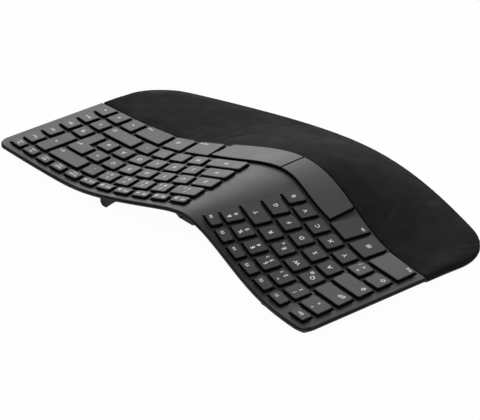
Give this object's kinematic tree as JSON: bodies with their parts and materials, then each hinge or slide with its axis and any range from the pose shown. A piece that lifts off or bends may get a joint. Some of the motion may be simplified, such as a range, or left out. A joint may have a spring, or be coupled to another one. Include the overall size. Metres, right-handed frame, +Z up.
{
  "type": "ergonomic keyboard",
  "caption": "Curved split keyboard with a raised crest, fanned low-profile keys, a padded palm rest and fold-out rear feet.",
  "frame": {"origin": "centre of the bounding box in plan, on the table", "axes": "+X to the typist's right, +Y from the palm rest to the rear edge, +Z up"},
  "size_m": [0.3888, 0.24, 0.035],
  "materials": {
    "deck_plastic": "fine satin, dark grey",
    "case_plastic": "fine grain, near black",
    "key_caps": "smooth matte, near black",
    "palm_cover": "matte padded imitation leather",
    "black_rubber": "matte",
    "inner_plastic": "pale, smooth",
    "steel": "plain pressed",
    "board": "green lacquered board",
    "cell_jacket": "plain jacket",
    "switch_plastic": "smooth"
  },
  "bodies": {
    "housing": {"bottom_case": "case_plastic", "top_case": "deck_plastic", "palm_rest_carrier": "case_plastic", "palm_rest_pad": "palm_cover", "case_pads": "black_rubber", "case_screws": "steel", "membrane_sheet": "inner_plastic", "key_plate": "steel", "rubber_domes": "black_rubber", "scissor_links": "inner_plastic", "controller_board": "board", "ribbon_tail": "inner_plastic", "batteries": "cell_jacket", "battery_contacts": "steel"},
    "alt_graph_key": {"alt_graph_key": "key_caps"},
    "angle_key": {"angle_key": "key_caps"},
    "backspace_key": {"backspace_key": "key_caps"},
    "calculator_key": {"calculator_key": "key_caps"},
    "caps_lock_key": {"caps_lock_key": "key_caps"},
    "caret_key": {"caret_key": "key_caps"},
    "delete_key": {"delete_key": "key_caps"},
    "digit_keys_left": {"digit_keys_left": "key_caps"},
    "digit_keys_right": {"digit_keys_right": "key_caps"},
    "down_key": {"down_key": "key_caps"},
    "end_key": {"end_key": "key_caps"},
    "enter_key": {"enter_key": "key_caps"},
    "escape_key": {"escape_key": "key_caps"},
    "function_keys_left": {"function_keys_left": "key_caps"},
    "function_keys_outer": {"function_keys_outer": "key_caps"},
    "function_keys_right": {"function_keys_right": "key_caps"},
    "home_key": {"home_key": "key_caps"},
    "home_letters_left": {"home_letters_left": "key_caps"},
    "home_letters_right": {"home_letters_right": "key_caps"},
    "left_alt_key": {"left_alt_key": "key_caps"},
    "left_arrow_key": {"left_arrow_key": "key_caps"},
    "left_control_key": {"left_control_key": "key_caps"},
    "left_shift_key": {"left_shift_key": "key_caps"},
    "left_space_bar": {"left_space_bar": "key_caps"},
    "left_system_key": {"left_system_key": "key_caps"},
    "low_letters_left": {"low_letters_left": "key_caps"},
    "low_letters_right": {"low_letters_right": "key_caps"},
    "page_down_key": {"page_down_key": "key_caps"},
    "page_up_key": {"page_up_key": "key_caps"},
    "right_arrow_key": {"right_arrow_key": "key_caps"},
    "right_control_key": {"right_control_key": "key_caps"},
    "right_shift_key": {"right_shift_key": "key_caps"},
    "right_space_bar": {"right_space_bar": "key_caps"},
    "right_system_key": {"right_system_key": "key_caps"},
    "tab_key": {"tab_key": "key_caps"},
    "top_letters_left": {"top_letters_left": "key_caps"},
    "top_letters_right": {"top_letters_right": "key_caps"},
    "up_key": {"up_key": "key_caps"},
    "left_foot": {"left_foot": "case_plastic", "left_foot_sole": "black_rubber"},
    "right_foot": {"right_foot": "case_plastic", "right_foot_sole": "black_rubber"},
    "power_switch": {"power_switch": "switch_plastic"},
    "battery_door": {"battery_door": "case_plastic"}
  },
  "joints": [
    {"name": "alt_graph_key_press", "type": "slide", "parent": "housing", "child": "alt_graph_key", "axis": [-0.1769, 0.0153, -0.9841], "range_m": [0, 0.0016], "stiffness_N_per_m": 150, "springref_m": -0.002, "deforming": ["rubber_domes", "scissor_links"]},
    {"name": "angle_key_press", "type": "slide", "parent": "housing", "child": "angle_key", "axis": [0, 0.0305, -0.9995], "range_m": [0, 0.0016], "stiffness_N_per_m": 150, "springref_m": -0.002, "deforming": ["rubber_domes", "scissor_links"]},
    {"name": "backspace_key_press", "type": "slide", "parent": "housing", "child": "backspace_key", "axis": [0, 0.0305, -0.9995], "range_m": [0, 0.0016], "stiffness_N_per_m": 150, "springref_m": -0.002, "deforming": ["rubber_domes", "scissor_links"]},
    {"name": "calculator_key_press", "type": "slide", "parent": "housing", "child": "calculator_key", "axis": [0, 0.0305, -0.9995], "range_m": [0, 0.0016], "stiffness_N_per_m": 150, "springref_m": -0.002, "deforming": ["rubber_domes", "scissor_links"]},
    {"name": "caps_lock_key_press", "type": "slide", "parent": "housing", "child": "caps_lock_key", "axis": [0, 0.0305, -0.9995], "range_m": [0, 0.0016], "stiffness_N_per_m": 150, "springref_m": -0.002, "deforming": ["rubber_domes", "scissor_links"]},
    {"name": "caret_key_press", "type": "slide", "parent": "housing", "child": "caret_key", "axis": [0, 0.0305, -0.9995], "range_m": [0, 0.0016], "stiffness_N_per_m": 150, "springref_m": -0.002, "deforming": ["rubber_domes", "scissor_links"]},
    {"name": "delete_key_press", "type": "slide", "parent": "housing", "child": "delete_key", "axis": [0, 0.0305, -0.9995], "range_m": [0, 0.0016], "stiffness_N_per_m": 150, "springref_m": -0.002, "deforming": ["rubber_domes", "scissor_links"]},
    {"name": "digit_keys_left_press", "type": "slide", "parent": "housing", "child": "digit_keys_left", "axis": [0.1547, 0.013, -0.9879], "range_m": [0, 0.0016], "stiffness_N_per_m": 900, "springref_m": -0.002, "deforming": ["rubber_domes", "scissor_links"]},
    {"name": "digit_keys_right_press", "type": "slide", "parent": "housing", "child": "digit_keys_right", "axis": [-0.1379, 0.0148, -0.9903], "range_m": [0, 0.0016], "stiffness_N_per_m": 900, "springref_m": -0.002, "deforming": ["rubber_domes", "scissor_links"]},
    {"name": "down_key_press", "type": "slide", "parent": "housing", "child": "down_key", "axis": [0, 0.0305, -0.9995], "range_m": [0, 0.0016], "stiffness_N_per_m": 150, "springref_m": -0.002, "deforming": ["rubber_domes", "scissor_links"]},
    {"name": "end_key_press", "type": "slide", "parent": "housing", "child": "end_key", "axis": [0, 0.0305, -0.9995], "range_m": [0, 0.0016], "stiffness_N_per_m": 150, "springref_m": -0.002, "deforming": ["rubber_domes", "scissor_links"]},
    {"name": "enter_key_press", "type": "slide", "parent": "housing", "child": "enter_key", "axis": [0, 0.0305, -0.9995], "range_m": [0, 0.0016], "stiffness_N_per_m": 150, "springref_m": -0.002, "deforming": ["rubber_domes", "scissor_links"]},
    {"name": "escape_key_press", "type": "slide", "parent": "housing", "child": "escape_key", "axis": [0, 0.0305, -0.9995], "range_m": [0, 0.0016], "stiffness_N_per_m": 150, "springref_m": -0.002, "deforming": ["rubber_domes", "scissor_links"]},
    {"name": "function_keys_left_press", "type": "slide", "parent": "housing", "child": "function_keys_left", "axis": [0.1557, 0.0115, -0.9877], "range_m": [0, 0.0016], "stiffness_N_per_m": 900, "springref_m": -0.002, "deforming": ["rubber_domes", "scissor_links"]},
    {"name": "function_keys_outer_press", "type": "slide", "parent": "housing", "child": "function_keys_outer", "axis": [0, 0.0305, -0.9995], "range_m": [0, 0.0016], "stiffness_N_per_m": 750, "springref_m": -0.002, "deforming": ["rubber_domes", "scissor_links"]},
    {"name": "function_keys_right_press", "type": "slide", "parent": "housing", "child": "function_keys_right", "axis": [-0.1592, 0.011, -0.9872], "range_m": [0, 0.0016], "stiffness_N_per_m": 900, "springref_m": -0.002, "deforming": ["rubber_domes", "scissor_links"]},
    {"name": "home_key_press", "type": "slide", "parent": "housing", "child": "home_key", "axis": [0, 0.0305, -0.9995], "range_m": [0, 0.0016], "stiffness_N_per_m": 150, "springref_m": -0.002, "deforming": ["rubber_domes", "scissor_links"]},
    {"name": "home_letters_left_press", "type": "slide", "parent": "housing", "child": "home_letters_left", "axis": [0.1666, 0.0145, -0.9859], "range_m": [0, 0.0016], "stiffness_N_per_m": 750, "springref_m": -0.002, "deforming": ["rubber_domes", "scissor_links"]},
    {"name": "home_letters_right_press", "type": "slide", "parent": "housing", "child": "home_letters_right", "axis": [-0.1167, 0.0194, -0.993], "range_m": [0, 0.0016], "stiffness_N_per_m": 1050, "springref_m": -0.002, "deforming": ["rubber_domes", "scissor_links"]},
    {"name": "left_alt_key_press", "type": "slide", "parent": "housing", "child": "left_alt_key", "axis": [0.1788, 0.015, -0.9838], "range_m": [0, 0.0016], "stiffness_N_per_m": 150, "springref_m": -0.002, "deforming": ["rubber_domes", "scissor_links"]},
    {"name": "left_arrow_key_press", "type": "slide", "parent": "housing", "child": "left_arrow_key", "axis": [0, 0.0305, -0.9995], "range_m": [0, 0.0016], "stiffness_N_per_m": 150, "springref_m": -0.002, "deforming": ["rubber_domes", "scissor_links"]},
    {"name": "left_control_key_press", "type": "slide", "parent": "housing", "child": "left_control_key", "axis": [0, 0.0305, -0.9995], "range_m": [0, 0.0016], "stiffness_N_per_m": 150, "springref_m": -0.002, "deforming": ["rubber_domes", "scissor_links"]},
    {"name": "left_shift_key_press", "type": "slide", "parent": "housing", "child": "left_shift_key", "axis": [0, 0.0305, -0.9995], "range_m": [0, 0.0016], "stiffness_N_per_m": 150, "springref_m": -0.002, "deforming": ["rubber_domes", "scissor_links"]},
    {"name": "left_space_bar_press", "type": "slide", "parent": "housing", "child": "left_space_bar", "axis": [0.1658, 0.0193, -0.986], "range_m": [0, 0.0016], "stiffness_N_per_m": 150, "springref_m": -0.002, "deforming": ["rubber_domes", "scissor_links"]},
    {"name": "left_system_key_press", "type": "slide", "parent": "housing", "child": "left_system_key", "axis": [0.1259, 0.0217, -0.9918], "range_m": [0, 0.0016], "stiffness_N_per_m": 150, "springref_m": -0.002, "deforming": ["rubber_domes", "scissor_links"]},
    {"name": "low_letters_left_press", "type": "slide", "parent": "housing", "child": "low_letters_left", "axis": [0.1723, 0.015, -0.9849], "range_m": [0, 0.0016], "stiffness_N_per_m": 750, "springref_m": -0.002, "deforming": ["rubber_domes", "scissor_links"]},
    {"name": "low_letters_right_press", "type": "slide", "parent": "housing", "child": "low_letters_right", "axis": [-0.1363, 0.0182, -0.9905], "range_m": [0, 0.0016], "stiffness_N_per_m": 750, "springref_m": -0.002, "deforming": ["rubber_domes", "scissor_links"]},
    {"name": "page_down_key_press", "type": "slide", "parent": "housing", "child": "page_down_key", "axis": [0, 0.0305, -0.9995], "range_m": [0, 0.0016], "stiffness_N_per_m": 150, "springref_m": -0.002, "deforming": ["rubber_domes", "scissor_links"]},
    {"name": "page_up_key_press", "type": "slide", "parent": "housing", "child": "page_up_key", "axis": [0, 0.0305, -0.9995], "range_m": [0, 0.0016], "stiffness_N_per_m": 150, "springref_m": -0.002, "deforming": ["rubber_domes", "scissor_links"]},
    {"name": "right_arrow_key_press", "type": "slide", "parent": "housing", "child": "right_arrow_key", "axis": [0, 0.0305, -0.9995], "range_m": [0, 0.0016], "stiffness_N_per_m": 150, "springref_m": -0.002, "deforming": ["rubber_domes", "scissor_links"]},
    {"name": "right_control_key_press", "type": "slide", "parent": "housing", "child": "right_control_key", "axis": [0, 0.0305, -0.9995], "range_m": [0, 0.0016], "stiffness_N_per_m": 150, "springref_m": -0.002, "deforming": ["rubber_domes", "scissor_links"]},
    {"name": "right_shift_key_press", "type": "slide", "parent": "housing", "child": "right_shift_key", "axis": [0, 0.0305, -0.9995], "range_m": [0, 0.0016], "stiffness_N_per_m": 150, "springref_m": -0.002, "deforming": ["rubber_domes", "scissor_links"]},
    {"name": "right_space_bar_press", "type": "slide", "parent": "housing", "child": "right_space_bar", "axis": [-0.1753, 0.0178, -0.9844], "range_m": [0, 0.0016], "stiffness_N_per_m": 150, "springref_m": -0.002, "deforming": ["rubber_domes", "scissor_links"]},
    {"name": "right_system_key_press", "type": "slide", "parent": "housing", "child": "right_system_key", "axis": [-0.1143, 0.0229, -0.9932], "range_m": [0, 0.0016], "stiffness_N_per_m": 150, "springref_m": -0.002, "deforming": ["rubber_domes", "scissor_links"]},
    {"name": "tab_key_press", "type": "slide", "parent": "housing", "child": "tab_key", "axis": [0, 0.0305, -0.9995], "range_m": [0, 0.0016], "stiffness_N_per_m": 150, "springref_m": -0.002, "deforming": ["rubber_domes", "scissor_links"]},
    {"name": "top_letters_left_press", "type": "slide", "parent": "housing", "child": "top_letters_left", "axis": [0.1624, 0.0136, -0.9866], "range_m": [0, 0.0016], "stiffness_N_per_m": 750, "springref_m": -0.002, "deforming": ["rubber_domes", "scissor_links"]},
    {"name": "top_letters_right_press", "type": "slide", "parent": "housing", "child": "top_letters_right", "axis": [-0.122, 0.0178, -0.9924], "range_m": [0, 0.0016], "stiffness_N_per_m": 1050, "springref_m": -0.002, "deforming": ["rubber_domes", "scissor_links"]},
    {"name": "up_key_press", "type": "slide", "parent": "housing", "child": "up_key", "axis": [0, 0.0305, -0.9995], "range_m": [0, 0.0016], "stiffness_N_per_m": 150, "springref_m": -0.002, "deforming": ["rubber_domes", "scissor_links"]},
    {"name": "left_foot_fold", "type": "hinge", "parent": "housing", "child": "left_foot", "pos_m": [-0.11905, 0.10118, 0.01013], "axis": [1, 0, 0], "range_deg": [-88, 0]},
    {"name": "right_foot_fold", "type": "hinge", "parent": "housing", "child": "right_foot", "pos_m": [0.06315, 0.10118, 0.01013], "axis": [1, 0, 0], "range_deg": [-88, 0]},
    {"name": "power_switch_slide", "type": "slide", "parent": "housing", "child": "power_switch", "axis": [1, 0, 0], "range_m": [0, 0.003]},
    {"name": "battery_door_off", "type": "slide", "parent": "housing", "child": "battery_door", "axis": [0, 0.0305, -0.9995], "range_m": [0, 0.02]}
  ]
}
